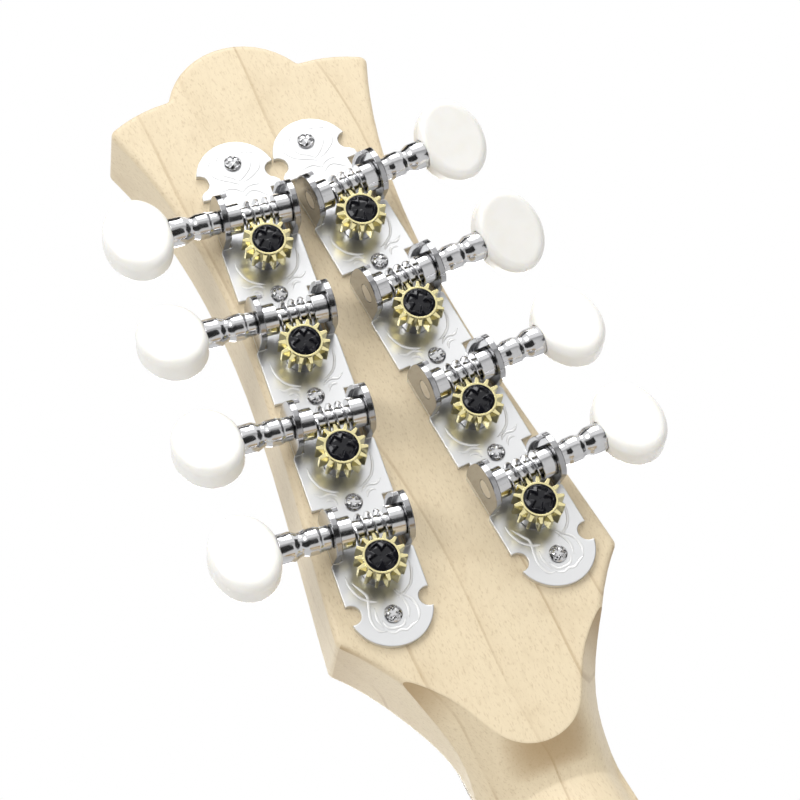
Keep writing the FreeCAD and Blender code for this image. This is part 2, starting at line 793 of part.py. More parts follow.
def fret(down):
    """One fret: a round crown on the board and a thin tang in its slot."""
    half = board_half_width(down)
    surface = -fretboard_thickness
    crown_radius = (fret_crown_width ** 2 / 4 + fret_crown_height ** 2) / (2 * fret_crown_height)
    centre = surface - fret_crown_height + crown_radius
    crown = rod(crown_radius, Vector(-half, centre, -down), Vector(half, centre, -down))
    above = block(Vector(-half, surface - fret_crown_height, -down - fret_crown_width),
                  Vector(half, surface, -down + fret_crown_width))
    tang = block(Vector(-half, surface, -down - fret_tang_width / 2),
                 Vector(half, surface + fret_tang_depth, -down + fret_tang_width / 2))
    return crown.common(above).fuse(tang).removeSplitter()


def fretboard(frets):
    """The fretboard, slotted for the frets, running on over the body."""
    foot = board_half_width(fretboard_length)
    corners = [Vector(-nut_width / 2, 0, 0), Vector(nut_width / 2, 0, 0), Vector(foot, 0, -fretboard_length),
               Vector(-foot, 0, -fretboard_length)]
    board = polygon(corners).extrude(Vector(0, -fretboard_thickness, 0))
    return board.cut(Part.makeCompound(frets))


def string_offset(number, pitch, gap):
    """How far across a string lies, from the bass side at -x, for a pair pitch and a gap within a pair."""
    pair = number // 2
    within = number % 2 - 0.5
    return (pair - (string_count / 2 - 1) / 2) * pitch + within * gap


def string_points(number):
    """A string's bends: at its hook, over the bridge and over the nut."""
    tail = body_frame().multVec(hook_point(number) - Vector(0, string_radii[number], 0))
    over_bridge = string_offset(number, pair_pitch_bridge, pair_gap_bridge)
    bridge = Vector(over_bridge, string_at_bridge, -scale_length)
    across = string_offset(number, pair_pitch_nut, pair_gap_nut)
    nut_foot = Vector(across, string_at_nut - string_radii[number], 0)
    nut_top = Vector(across, string_at_nut - string_radii[number] + nut_slot_depth / 2, nut_thickness)
    return [tail, bridge, nut_foot, nut_top]


def string_post_place(number):
    """The side and index of the post that a string winds on: outer strings take the posts near the nut."""
    bass = number < string_count / 2
    from_outside = number if bass else string_count - 1 - number
    return (1 if bass else -1), tuners_per_side - 1 - from_outside


def tangent_arc(start, corner, end):
    """An arc from start to end that touches the two straights to the corner, which lies as far from both."""
    middle = (start + end) / 2
    cosine = math.cos((corner - start).getAngle(end - start))
    return Part.Arc(start, middle + (corner - middle) * cosine / (1 + cosine), end).toShape()


def biarc(start, start_way, end, end_way):
    """Two equal arcs from start to end that leave and arrive in the given directions."""
    run = end - start
    bend = 2 - 2 * start_way.dot(end_way)
    lean = run.dot(start_way + end_way)
    reach = (math.sqrt(lean ** 2 + bend * run.dot(run)) - lean) / bend
    first = start + start_way * reach
    second = end - end_way * reach
    joint = (first + second) / 2
    return [tangent_arc(start, first, joint), tangent_arc(joint, second, end)]


def string_path(number):
    """A string's line from its hook to its post and its turns round the post, in straight runs and arcs."""
    side, index = string_post_place(number)
    frame = tuner_frame(side, index)
    points = string_points(number)
    start = frame.inverse().multVec(points[-1])
    radius = post_radius + running_clearance + string_radii[number]
    distance = math.hypot(start.x, start.y)
    touch = math.atan2(start.y, start.x) - side * math.acos(radius / distance)
    climb = (2 * string_radii[number] + wrap_gap) / (2 * math.pi)
    corners = []
    ways = []
    for half_turn in range(2 * wrap_turns + 1):
        turn = half_turn * math.pi
        angle = touch - side * turn
        corners.append(frame.multVec(Vector(radius * math.cos(angle), radius * math.sin(angle),
                                            wrap_level + climb * turn)))
        way = Vector(side * radius * math.sin(angle), -side * radius * math.cos(angle), climb)
        ways.append(frame.Rotation.multVec(way.normalize()))
    edges = [line(first, second) for first, second in zip(points, points[1:] + corners[:1])]
    for corner, way, next_corner, next_way in zip(corners, ways, corners[1:], ways[1:]):
        edges += biarc(corner, way, next_corner, next_way)
    return edges


def tube(edges, radius, mitred):
    """A round wire along joined edges, mitred where they meet at an angle."""
    first = edges[0]
    circle = Part.Circle(first.valueAt(first.FirstParameter), first.tangentAt(first.FirstParameter), radius)
    return Part.Wire(edges).makePipeShell([Part.Wire(circle.toShape())], True, False, 1 if mitred else 0)


def one_string(number):
    """A string as straight runs mitred at its bends, joined to the coil on its post."""
    edges = string_path(number)
    runs = len(string_points(number))
    return [tube(edges[:runs], string_radii[number], True), tube(edges[runs:], string_radii[number], False)]


def nut():
    """The bone nut with its string slots."""
    half = nut_width / 2
    bone = block(Vector(-half, -nut_height, 0), Vector(half, 0, nut_thickness))
    slots = []
    for number in range(string_count):
        run = string_points(number)
        radius = string_radii[number] + slot_clearance
        slots.append(rod(radius, run[2] + (run[2] - run[3]), run[3] + (run[3] - run[2])))
        across = run[2].x
        slots.append(block(Vector(across - radius, -nut_height - overrun, -overrun),
                           Vector(across + radius, run[2].y, nut_thickness + overrun)))
    return bone.cut(Part.makeCompound(slots))


def body_wire(inset, level):
    """The body's pear-shaped outline at a level of the body's frame, drawn in by the inset."""
    right = []
    for across, down in zip(outline_across_shares, outline_down_shares):
        right.append(Vector(across * body_half_width, level, -down * body_length))
    tail = [Vector(0, level, -body_length)]
    points = right + tail + [Vector(-point.x, level, point.z) for point in reversed(right)]
    outline = Part.BSplineCurve()
    outline.interpolate(points)
    drawn = []
    for point in points:
        along = outline.tangent(outline.parameter(point))[0]
        drawn.append(point + Vector(along.z, 0, -along.x) * inset)
    for end, inner in ((0, 1), (-1, -2)):
        slope = (drawn[inner] - drawn[end]) / (drawn[inner].z - drawn[end].z)
        drawn[end] += slope * (-inset - drawn[end].z)
    return Part.Wire([curve(drawn), line(drawn[-1], drawn[0])])


def body_prism(inset, level, depth):
    """The outline's solid between two levels of the body's frame."""
    return Part.Face(body_wire(inset, level)).extrude(Vector(0, depth, 0))


def arch(height):
    """A low cap over the arch's ellipse, standing on y = 0 and rising to -y."""
    ball = Part.makeSphere(arch_ball_radius, Vector(0, arch_ball_radius - arch_share, 0))
    over = block(Vector(-arch_ball_radius, -arch_ball_radius, -arch_ball_radius),
                 Vector(arch_ball_radius, 0, arch_ball_radius))
    stretch = Matrix()
    stretch.A11, stretch.A22, stretch.A33 = arch_across, height / arch_share, arch_along
    cap = ball.common(over).transformGeometry(stretch)
    cap.translate(Vector(0, 0, arch_centre))
    return cap


def arched_plate(height):
    """A carved plate from y = 0 to its edge's thickness, arched to -y, hollowed, and trimmed at the neck."""
    cap = arch(height)
    hollow = cap.copy()
    hollow.translate(Vector(0, plate_edge, 0))
    plate = body_prism(-plate_overhang, 0, plate_edge)
    at_neck = block(Vector(-body_half_width, -overrun, 0),
                    Vector(body_half_width, plate_edge + overrun, plate_overhang + overrun))
    return plate.fuse(cap).cut(hollow).cut(at_neck).removeSplitter()


def soundboard():
    """The arched spruce top with its oval soundhole."""
    centre = Vector(0, -top_arch - overrun, -soundhole_down)
    oval = oval_face(centre, soundhole_half_across, soundhole_half_along)
    hole = oval.extrude(Vector(0, top_arch + plate_edge + 2 * overrun, 0))
    return arched_plate(top_arch).cut(hole)


def back_plate():
    """The arched maple back, hollowed from inside."""
    plate = arched_plate(back_arch)
    plate = plate.mirror(Vector(0, 0, 0), Vector(0, 1, 0))
    plate.translate(Vector(0, body_depth, 0))
    return plate


def pin_hole():
    """The hole through the tail for the end pin."""
    level = plate_edge + rib_depth / 2
    return rod(pin_shank_radius, Vector(0, level, -body_length - pin_neck_length),
               Vector(0, level, -body_length + pin_shank_length))


def ribs():
    """The bent maple sides, one ring."""
    ring = body_prism(0, plate_edge, rib_depth).cut(body_prism(rib_thickness, plate_edge, rib_depth))
    return ring.cut(pin_hole())


def inner_blocks():
    """The neck block and the tail block."""
    inside = body_prism(rib_thickness, plate_edge, rib_depth)
    top = plate_edge + rib_depth
    neck_end = block(Vector(-block_half_width, plate_edge, -neck_block_length),
                     Vector(block_half_width, top, overrun))
    tail_end = block(Vector(-block_half_width, plate_edge, -body_length),
                     Vector(block_half_width, top, -body_length + tail_block_length))
    return [inside.common(neck_end), inside.common(tail_end).cut(pin_hole())]


def linings(blocks):
    """The two kerfed linings that widen the glue line of the ribs."""
    strips = []
    for level in (plate_edge, plate_edge + rib_depth - lining_height):
        ring = body_prism(rib_thickness, level, lining_height)
        ring = ring.cut(body_prism(rib_thickness + lining_thickness, level, lining_height))
        strips += ring.cut(Part.makeCompound(blocks)).Solids
    return strips


def tone_bars():
    """Two spruce bars glued under the soundboard, a little closer together at the neck end."""
    under = arch(top_arch)
    under.translate(Vector(0, plate_edge, 0))
    lower = under.copy()
    lower.translate(Vector(0, tone_bar_height, 0))
    bars = []
    for side in side_names.values():
        bar = block(Vector(-tone_bar_width / 2, -top_arch, -tone_bar_length),
                    Vector(tone_bar_width / 2, plate_edge, 0))
        bar.Placement = Placement(Vector(side * tone_bar_half_gap, 0, -tone_bar_start),
                                  Rotation(Vector(0, 1, 0), -side * tone_bar_splay))
        bars.append(bar.common(under).cut(lower))
    return bars


def bridge_down():
    """How far down the body's frame the bridge stands."""
    return -body_frame().inverse().multVec(Vector(0, string_at_bridge, -scale_length)).z


def bridge_string_level():
    """The level of the strings at the bridge, in the body's frame."""
    return body_frame().inverse().multVec(Vector(0, string_at_bridge, -scale_length)).y


def bridge_foot_top():
    return -top_arch - bridge_foot_rise


def wheel_top():
    """The level of the top of the bridge's wheels, in the body's frame."""
    return bridge_foot_top() - saddle_travel - seat_clearance - bridge_wheel_thickness


def bridge_foot():
    """The bridge's foot, fitted to the arch, with its two threaded studs."""
    down = bridge_down()
    half = bridge_foot_depth / 2
    wood = block(Vector(-bridge_foot_half_width, bridge_foot_top(), -down - half),
                 Vector(bridge_foot_half_width, 0, -down + half)).cut(arch(top_arch))
    relief_radius = bridge_arch_half_width ** 2 / (2 * bridge_arch_rise)
    relief_centre = Vector(0, relief_radius - top_arch - bridge_arch_rise, -down)
    reach = Vector(0, 0, half + overrun)
    wood = wood.cut(rod(relief_radius, relief_centre - reach, relief_centre + reach))
    studs = []
    for side in side_names.values():
        across = side * bridge_stud_offset
        studs.append(rod(bridge_stud_radius, Vector(across, bridge_foot_top() + bridge_foot_rise / 2, -down),
                         Vector(across, bridge_string_level() + saddle_stud_cover + saddle_travel, -down)))
    wood = max(wood.cut(Part.makeCompound(studs)).Solids, key=lambda solid: solid.Volume)
    return [wood] + studs


def bridge_wheel(side):
    """One knurled thumbwheel that carries the saddle."""
    down = bridge_down()
    across = side * bridge_stud_offset
    wheel = rod(bridge_wheel_radius, Vector(across, wheel_top(), -down),
                Vector(across, wheel_top() + bridge_wheel_thickness, -down))
    bore = rod(bridge_stud_radius + running_clearance, Vector(across, wheel_top() - overrun, -down),
               Vector(across, wheel_top() + bridge_wheel_thickness + overrun, -down))
    return wheel.cut(bore)


def bridge_saddle():
    """The saddle on its two wheels, notched for the strings."""
    down = bridge_down()
    top = bridge_string_level() - max(string_radii)
    foot = wheel_top() - wheel_gap
    half, half_top = saddle_depth / 2, saddle_top_depth / 2
    corners = []
    for level, place in ((foot, -half), (foot, half), (top, half_top), (top, -half_top)):
        corners.append(Vector(-saddle_half_width, level, place - down))
    wood = polygon(corners).extrude(Vector(2 * saddle_half_width, 0, 0))
    cutters = []
    for side in side_names.values():
        across = side * bridge_stud_offset
        cutters.append(rod(bridge_stud_radius + 2 * running_clearance, Vector(across, foot + overrun, -down),
                           Vector(across, bridge_string_level() + saddle_stud_cover, -down)))
    for number in range(string_count):
        bend = body_frame().inverse().multVec(string_points(number)[1])
        radius = string_radii[number] + seat_clearance
        cutters.append(block(Vector(bend.x - radius, top - overrun, -down - saddle_depth),
                             Vector(bend.x + radius, bend.y + radius, -down + saddle_depth)))
    return wood.cut(Part.makeCompound(cutters))


def hook_point(number):
    """Where a string leaves the tailpiece, in the body's frame."""
    near = number % 2
    down = body_length - tailpiece_length + hook_back + near * hook_row_gap
    along = (tailpiece_length - hook_back - near * hook_row_gap) / tailpiece_length
    level = -tailpiece_thickness - tailpiece_rise * along - hook_height / 2
    return Vector(string_offset(number, pair_pitch_tail, pair_gap_tail), level, -down)


def tailpiece():
    """The bent tailpiece: a flange on the tail, a bend over the edge and a rising leaf with string hooks."""
    edge = -tailpiece_edge
    rise = Vector(0, -tailpiece_rise - tailpiece_thickness, edge + tailpiece_length)
    bend_foot = Vector(0, tailpiece_bend, edge - tailpiece_thickness)
    bend_top = Vector(0, -tailpiece_thickness, edge + tailpiece_bend)
    foot = Vector(0, tailpiece_flange, edge - tailpiece_thickness)
    corner = Vector(0, -tailpiece_thickness, edge - tailpiece_thickness)
    chord_middle = (bend_foot + bend_top) / 2
    middle = chord_middle + (corner - chord_middle) * (math.sqrt(2) - 1)
    outer = [line(foot, bend_foot), Part.Arc(bend_foot, middle, bend_top).toShape(), line(bend_top, rise)]
    skin = Vector(0, tailpiece_thickness, 0)
    inner_corner = Vector(0, 0, edge)
    edges = outer + [line(rise, rise + skin), line(rise + skin, inner_corner),
                     line(inner_corner, Vector(0, tailpiece_flange, edge)),
                     line(Vector(0, tailpiece_flange, edge), foot)]
    leaf = Part.Face(Part.Wire(edges)).extrude(Vector(2 * tailpiece_half_width, 0, 0))
    leaf.translate(Vector(-tailpiece_half_width, 0, 0))
    hooks = []
    for number in range(string_count):
        point = hook_point(number)
        base = Vector(point.x, point.y + hook_height / 2 + tailpiece_thickness / 2, point.z - hook_radius)
        hooks.append(rod(hook_radius, base, base - Vector(0, hook_height + tailpiece_thickness / 2, 0)))
    return leaf.multiFuse(hooks).cut(pin_hole())


def end_pin():
    """The ebony end pin, pushed into the tail, that also holds the tailpiece."""
    level = plate_edge + rib_depth / 2
    outside = tailpiece_edge + tailpiece_thickness
    neck_end = outside + pin_neck_length
    head_end = neck_end + pin_head_length
    inner = body_length - pin_shank_length + running_clearance
    outline = [Vector(0, level, -inner), Vector(pin_shank_radius, level, -inner),
               Vector(pin_shank_radius, level, -outside), Vector(pin_neck_radius, level, -outside),
               Vector(pin_neck_radius, level, -neck_end),
               Vector(pin_head_radius - pin_head_round, level, -neck_end),
               Vector(pin_head_radius, level, -neck_end - pin_head_round),
               Vector(pin_head_radius - pin_head_round, level, -head_end), Vector(0, level, -head_end)]
    return turned(outline)


def save_neck():
    """The neck, fretboard, frets, nut and strings."""
    frets = [fret(down) for down in fret_places()]
    save("neck", neck())
    save("fretboard", fretboard(frets))
    save("frets", *frets)
    save("nut", nut())
    save("strings", *[solid for number in range(string_count) for solid in one_string(number)])


def save_body():
    """The body's shells, what is inside them and what stands on them."""
    here = body_frame()
    blocks = inner_blocks()
    save("soundboard", placed(soundboard(), here))
    save("back_plate", placed(back_plate(), here))
    save("ribs", placed(ribs(), here))
    save("blocks_and_linings", *[placed(solid, here) for solid in blocks + linings(blocks)])
    save("tone_bars", *[placed(bar, here) for bar in tone_bars()])
    save("bridge_foot", *[placed(solid, here) for solid in bridge_foot()])
    for name, side in side_names.items():
        save("bridge_wheel_" + name, placed(bridge_wheel(-side), here))
    save("bridge_saddle", placed(bridge_saddle(), here))
    save("tailpiece", placed(tailpiece(), here))
    save("end_pin", placed(end_pin(), here))


os.makedirs("parts", exist_ok=True)
save_tuners()
save_neck()
save_body()
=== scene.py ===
import json
import math

import bmesh
import bpy
from mathutils import Matrix, Vector


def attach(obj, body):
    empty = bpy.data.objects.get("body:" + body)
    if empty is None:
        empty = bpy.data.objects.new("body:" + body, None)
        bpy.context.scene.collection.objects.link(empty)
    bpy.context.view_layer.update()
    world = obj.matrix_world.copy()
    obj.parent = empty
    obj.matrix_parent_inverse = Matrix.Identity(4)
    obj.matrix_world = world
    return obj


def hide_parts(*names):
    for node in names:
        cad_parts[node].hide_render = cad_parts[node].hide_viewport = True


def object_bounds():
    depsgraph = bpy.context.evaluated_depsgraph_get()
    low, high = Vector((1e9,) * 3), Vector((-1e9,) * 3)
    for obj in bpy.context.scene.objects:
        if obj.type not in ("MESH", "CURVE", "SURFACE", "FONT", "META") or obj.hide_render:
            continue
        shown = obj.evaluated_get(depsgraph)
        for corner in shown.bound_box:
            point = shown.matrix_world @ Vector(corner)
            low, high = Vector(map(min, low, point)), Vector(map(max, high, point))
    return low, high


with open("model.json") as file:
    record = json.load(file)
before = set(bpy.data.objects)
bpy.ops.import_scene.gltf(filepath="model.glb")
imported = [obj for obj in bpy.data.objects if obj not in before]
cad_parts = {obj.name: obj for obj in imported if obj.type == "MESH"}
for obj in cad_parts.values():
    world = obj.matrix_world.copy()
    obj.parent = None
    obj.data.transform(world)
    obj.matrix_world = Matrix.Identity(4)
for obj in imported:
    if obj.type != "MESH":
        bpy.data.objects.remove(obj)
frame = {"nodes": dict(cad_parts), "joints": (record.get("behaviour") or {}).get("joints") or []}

cad_low, cad_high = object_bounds()


# The studio: a pale floor under the hanging mandolin, white all round it, two soft lamps behind the
# headstock and one before the face. The camera looks at the back of the headstock from behind and below,
# as in the photograph. Dark cards that only reflections show give the plated pieces their black bands.
camera_place = Vector((0.14276, 0.43507, -0.23014))
camera_turn = [math.radians(degrees) for degrees in (130.079, 24.562, 179.332)]
camera_lens = 124.44
film_width = 36.0
camera_near = 0.01
floor_gap = 0.03
floor_size = 12.0
floor_colour = (0.72, 0.72, 0.72)
white = (1.0, 1.0, 1.0, 1.0)
soft_level = 0.58
floor_glow = 0.49

view_settings = bpy.context.scene.view_settings
view_settings.view_transform = "Standard"


def stand(name, data, place, turn):
    """Put a lamp or a camera in the studio."""
    made = bpy.data.objects.new(name, data)
    made.location = place
    made.rotation_euler = turn
    bpy.context.scene.collection.objects.link(made)
    return made


camera_data = bpy.data.cameras.new("camera")
camera_data.lens = camera_lens
camera_data.sensor_width = film_width
camera_data.clip_start = camera_near
bpy.context.scene.camera = stand("camera", camera_data, camera_place, camera_turn)


def soft_lamp(name, place, target, width, watts):
    """A square softbox that faces its target."""
    lamp = bpy.data.lights.new(name, "AREA")
    lamp.size = width
    lamp.energy = watts
    turn = (Vector(target) - Vector(place)).to_track_quat("-Z", "Y").to_euler()
    return stand(name, lamp, place, turn)


headstock_middle = Vector((0.0, 0.035, 0.09))
soft_lamp("key_lamp", (-0.375, 1.1, 1.1), headstock_middle, width=0.9, watts=12.5)
soft_lamp("side_lamp", (0.9, 1.1, 0.3), headstock_middle, width=0.7, watts=7.5)
soft_lamp("face_lamp", (-0.15, -1.7, 0.5), (0.0, 0.0, -0.25), width=1.2, watts=14.0)

world = bpy.data.worlds.new("white_room")
bpy.context.scene.world = world
world.use_nodes = True


def add(tree, kind, inputs, **settings):
    """One more node of a finish: its settings, and its inputs as values or as other nodes' outputs."""
    made = tree.nodes.new("ShaderNode" + kind)
    for name, value in settings.items():
        setattr(made, name, value)
    for name, value in inputs.items():
        if isinstance(value, bpy.types.NodeSocket):
            tree.links.new(value, made.inputs[name])
        else:
            made.inputs[name].default_value = value
    return made


def sums(tree, operation, *values):
    """One Math node's result."""
    return add(tree, "Math", dict(enumerate(values)), operation=operation).outputs[0]


room = world.node_tree
ray = add(room, "LightPath", {}).outputs
seen = sums(room, "MAXIMUM", ray["Is Camera Ray"], ray["Is Glossy Ray"])
seen = sums(room, "MAXIMUM", seen, ray["Is Transmission Ray"])
level = add(room, "MapRange", {"Value": seen, "To Min": soft_level, "To Max": 1.0})
backdrop = room.nodes["Background"]
backdrop.inputs["Color"].default_value = white
room.links.new(level.outputs["Result"], backdrop.inputs["Strength"])


def finish_of(name, colour, roughness, metallic=0.0):
    """A new material with its node tree, its shader and the Object coordinates that its pattern reads."""
    finish = bpy.data.materials.new(name)
    finish.use_nodes = True
    tree = finish.node_tree
    shader = tree.nodes["Principled BSDF"]
    shader.inputs["Base Color"].default_value = (*colour, 1.0)
    shader.inputs["Roughness"].default_value = roughness
    shader.inputs["Metallic"].default_value = metallic
    return finish, tree, shader, add(tree, "TexCoord", {}).outputs["Object"]


def make_piece(name, shell, finish, body=None, slot=None, *stands_for):
    """Turn a finished bmesh into a piece of the instrument that moves with a body."""
    mesh = bpy.data.meshes.new(name)
    shell.to_mesh(mesh)
    shell.free()
    made = bpy.data.objects.new(name, mesh)
    made.data.materials.append(finish)
    bpy.context.scene.collection.objects.link(made)
    if body:
        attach(made, body)
    if stands_for:
        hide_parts(*stands_for)
    return made


def plane(name, place, target, width, finish):
    """A flat square of the studio that faces its target."""
    shell = bmesh.new()
    bmesh.ops.create_grid(shell, x_segments=1, y_segments=1, size=width / 2)
    turn = (Vector(target) - Vector(place)).to_track_quat("Z", "Y").to_matrix().to_4x4()
    bmesh.ops.transform(shell, matrix=Matrix.Translation(place) @ turn, verts=shell.verts)
    made = make_piece(name, shell, finish)
    return made


floor_finish, floor_tree, floor_shader = finish_of("studio_floor", floor_colour, roughness=0.8)[:3]
floor_ray = add(floor_tree, "LightPath", {}).outputs["Is Camera Ray"]
floor_shader.inputs["Emission Color"].default_value = white
floor_tree.links.new(sums(floor_tree, "MULTIPLY", floor_ray, floor_glow),
                     floor_shader.inputs["Emission Strength"])
plane("studio_floor", (0.0, 0.0, cad_low.z - floor_gap), (0.0, 0.0, 1.0), floor_size, floor_finish)
card_finish = finish_of("dark_card", (0.01, 0.01, 0.01), roughness=0.9)[0]
cards = {"card_low": ((0.15, 0.44, -0.46), 0.85), "card_high": ((0.05, 0.22, 0.95), 0.8),
         "card_left": ((0.75, 0.30, 0.05), 0.9), "card_right": ((-0.75, 0.15, -0.05), 0.8)}
for name, (place, width) in cards.items():
    card = plane(name, place, headstock_middle, width, card_finish)
    card.visible_camera = False
    card.visible_diffuse = False
    card.visible_shadow = False
    card.visible_transmission = False


# The wooden pieces: a pale maple neck, ribs and back, a spruce top, and dark rosewood and ebony fittings.
# Each wood has thin growth lines, long faint streaks, short pores and softly rounded edges. It is darker on
# walls that face up or down, partly for the end grain they show and partly as painted shade on the walls
# that face down. Shares run from 0 to 1, and stretches are along the neck.
wood_shine = 0.35
drift_rate, drift_reach = 0.6, 0.9
line_rise, line_fall = 2.4, 0.5
late_start, late_share = 0.55, 0.16
grain_stretch, streak_stretch, pore_stretch = 0.12, 0.05, 0.3
patch_scale, streak_scale, cloud_scale, pore_scale = 110.0, 1300.0, 130.0, 3200.0
patch_range, streak_range, cloud_range = (0.32, 0.6), (0.45, 0.75), (0.5, 0.8)
speck_range, steep_range = (0.52, 0.72), (0.52, 0.8)
streak_share, cloud_share, speck_share, end_grain_and_shade_share = 0.1, 0.14, 0.3, 0.85
pore_spread, pore_depth = 0.2, 0.00002
edge_samples = 6


def dress(finish, *nodes):
    """Give CAD pieces a finish of their own."""
    for node in nodes:
        piece = frame["nodes"][node]
        piece.data.materials.clear()
        piece.data.materials.append(finish)


def tint(tree, share, colour, other):
    """A colour that changes to another by a share."""
    inputs = {"Factor": share, "A": colour, "B": other}
    for name in ("A", "B"):
        if isinstance(inputs[name], tuple):
            inputs[name] = (*inputs[name], 1.0)
    return add(tree, "Mix", inputs, data_type="RGBA").outputs["Result"]


def ramped(tree, value, low, high):
    """How far a value lies between two others, from 0 to 1."""
    inputs = {"Value": value, "From Min": low, "From Max": high}
    return add(tree, "MapRange", inputs, interpolation_type="SMOOTHSTEP").outputs["Result"]


def noise(tree, place, scale, detail):
    """A soft random pattern, from 0 to 1."""
    return add(tree, "TexNoise", {"Vector": place, "Scale": scale, "Detail": detail}).outputs["Fac"]


def drawn_out(tree, place, stretch):
    """Places from which a pattern is read that is drawn out along the neck."""
    return add(tree, "Mapping", {"Vector": place, "Scale": (1.0, 1.0, stretch)}).outputs[0]


def uneven(tree, shader, pattern, roughness, spread):
    """Let the roughness follow a pattern, half the spread to either side."""
    varied = sums(tree, "MULTIPLY_ADD", pattern, spread, roughness - spread / 2)
    tree.links.new(varied, shader.inputs["Roughness"])


def soft_edges(tree, shader, edge_round, height, depth):
    """Round the sharp edges in the shading and raise a fine relief."""
    edges = add(tree, "Bevel", {"Radius": edge_round}, samples=edge_samples).outputs["Normal"]
    relief = add(tree, "Bump", {"Height": height, "Distance": depth, "Normal": edges})
    tree.links.new(relief.outputs["Normal"], shader.inputs["Normal"])


def wood(name, pale, dark, line_way, line_gap, line_width, line_share, roughness, edge_round):
    """A sanded wood whose grain runs up the neck and whose growth lines lie across line_way."""
    finish, tree, shader, place = finish_of(name, pale, roughness)
    shader.inputs["Specular IOR Level"].default_value = wood_shine
    across = add(tree, "VectorMath", {0: place, 1: line_way}, operation="DOT_PRODUCT").outputs["Value"]
    along_grain = drawn_out(tree, place, grain_stretch)
    drift = noise(tree, along_grain, drift_rate / line_gap, detail=1.0)
    wandered = sums(tree, "MULTIPLY_ADD", drift, drift_reach * line_gap, across)
    phase = sums(tree, "FRACT", sums(tree, "DIVIDE", wandered, line_gap))
    width_share = line_width / line_gap
    rising = ramped(tree, phase, 1.0 - line_rise * width_share, 1.0 - width_share)
    falling = ramped(tree, phase, 1.0, 1.0 - line_fall * width_share)
    patch = ramped(tree, noise(tree, along_grain, patch_scale, detail=2.0), *patch_range)
    line = sums(tree, "MULTIPLY", sums(tree, "MULTIPLY", rising, falling), patch)
    late = sums(tree, "MULTIPLY_ADD", ramped(tree, phase, late_start, 1.0), late_share, line)
    streak = noise(tree, drawn_out(tree, place, streak_stretch), streak_scale, detail=2.0)
    cloud = noise(tree, place, cloud_scale, detail=2.0)
    pore = noise(tree, drawn_out(tree, place, pore_stretch), pore_scale, detail=3.0)
    speck = ramped(tree, pore, *speck_range)
    facing = add(tree, "NewGeometry", {}).outputs["Normal"]
    steepness = sums(tree, "ABSOLUTE", add(tree, "SeparateXYZ", {"Vector": facing}).outputs["Z"])
    colour = pale
    # The last mask darkens walls that face up or down: partly their end grain, partly painted shade.
    for mask, share in ((late, line_share), (ramped(tree, streak, *streak_range), streak_share),
                        (ramped(tree, cloud, *cloud_range), cloud_share), (speck, speck_share),
                        (ramped(tree, steepness, *steep_range), end_grain_and_shade_share)):
        colour = tint(tree, sums(tree, "MULTIPLY", mask, share), colour, dark)
    tree.links.new(colour, shader.inputs["Base Color"])
    uneven(tree, shader, pore, roughness, pore_spread)
    soft_edges(tree, shader, edge_round, sums(tree, "SUBTRACT", 1.0, speck), pore_depth)
    return finish, tree, shader, place, colour


maple_pale, maple_dark = (0.81, 0.685, 0.48), (0.44, 0.30, 0.15)
maple = wood("satin_maple", maple_pale, maple_dark, line_way=(0.89, -0.45, 0.07), line_gap=0.0115,
             line_width=0.0003, line_share=0.42, roughness=0.4, edge_round=0.0009)[0]
dress(maple, "neck")
back_maple = wood("back_maple", (0.72, 0.57, 0.38), maple_dark, line_way=(0.97, 0.2, 0.1), line_gap=0.009,
                  line_width=0.0005, line_share=0.5, roughness=0.3, edge_round=0.0012)[0]
dress(back_maple, "ribs", "back_plate")
spruce_pale, spruce_dark = (0.78, 0.60, 0.35), (0.47, 0.27, 0.10)
inner_spruce = wood("inner_spruce", spruce_pale, spruce_dark, line_way=(0.9, 0.3, 0.0), line_gap=0.003,
                    line_width=0.0007, line_share=0.6, roughness=0.55, edge_round=0.0006)[0]
dress(inner_spruce, "blocks_and_linings", "tone_bars")
rosewood = wood("rosewood", (0.055, 0.027, 0.018), (0.012, 0.006, 0.005), line_way=(0.9, 0.4, 0.1),
                line_gap=0.004, line_width=0.001, line_share=0.7, roughness=0.42, edge_round=0.0005)[0]
dress(rosewood, "fretboard", "bridge_foot", "bridge_saddle")
ebony = wood("ebony", (0.022, 0.019, 0.018), (0.008, 0.007, 0.007), line_way=(0.9, 0.4, 0.1),
             line_gap=0.003, line_width=0.001, line_share=0.5, roughness=0.25, edge_round=0.0005)[0]
dress(ebony, "end_pin")


# The soundboard: fine straight-grained spruce, with inlaid rings round the soundhole and pale binding
# along its rim. Both are drawn in its material: the rings by the distance from the hole's edge, and the
# binding where the surface faces sideways.
top_spruce, top_tree, top_shader, top_place, top_colour = wood(
    "top_spruce", spruce_pale, spruce_dark, line_way=(1.0, 0.0, 0.0), line_gap=0.0016, line_width=0.0004,
    line_share=0.75, roughness=0.32, edge_round=0.001)
hole_across, hole_along = 0.029, 0.017
hole_middle = Vector((0.0, 0.0, -0.2755))
ring_starts_and_ends = ((0.0030, 0.0036), (0.0048, 0.0072), (0.0084, 0.0090))
ring_colour = (0.03, 0.018, 0.012)
binding_colour = (0.80, 0.74, 0.58)
rim_facing = 0.25
from_hole = add(top_tree, "Mapping", {"Vector": top_place, "Location": -hole_middle}).outputs[0]
flat = add(top_tree, "VectorMath", {0: from_hole, 1: (1.0 / hole_across, 0.0, 1.0 / hole_along)},
           operation="MULTIPLY").outputs["Vector"]
share = add(top_tree, "VectorMath", {0: flat}, operation="LENGTH").outputs["Value"]
beyond = sums(top_tree, "MULTIPLY", sums(top_tree, "SUBTRACT", share, 1.0), (hole_across + hole_along) / 2)
for start, end in ring_starts_and_ends:
    inside = sums(top_tree, "MULTIPLY", sums(top_tree, "GREATER_THAN", beyond, start),
                  sums(top_tree, "LESS_THAN", beyond, end))
    top_colour = tint(top_tree, inside, top_colour, ring_colour)
facing = add(top_tree, "NewGeometry", {}).outputs["True Normal"]
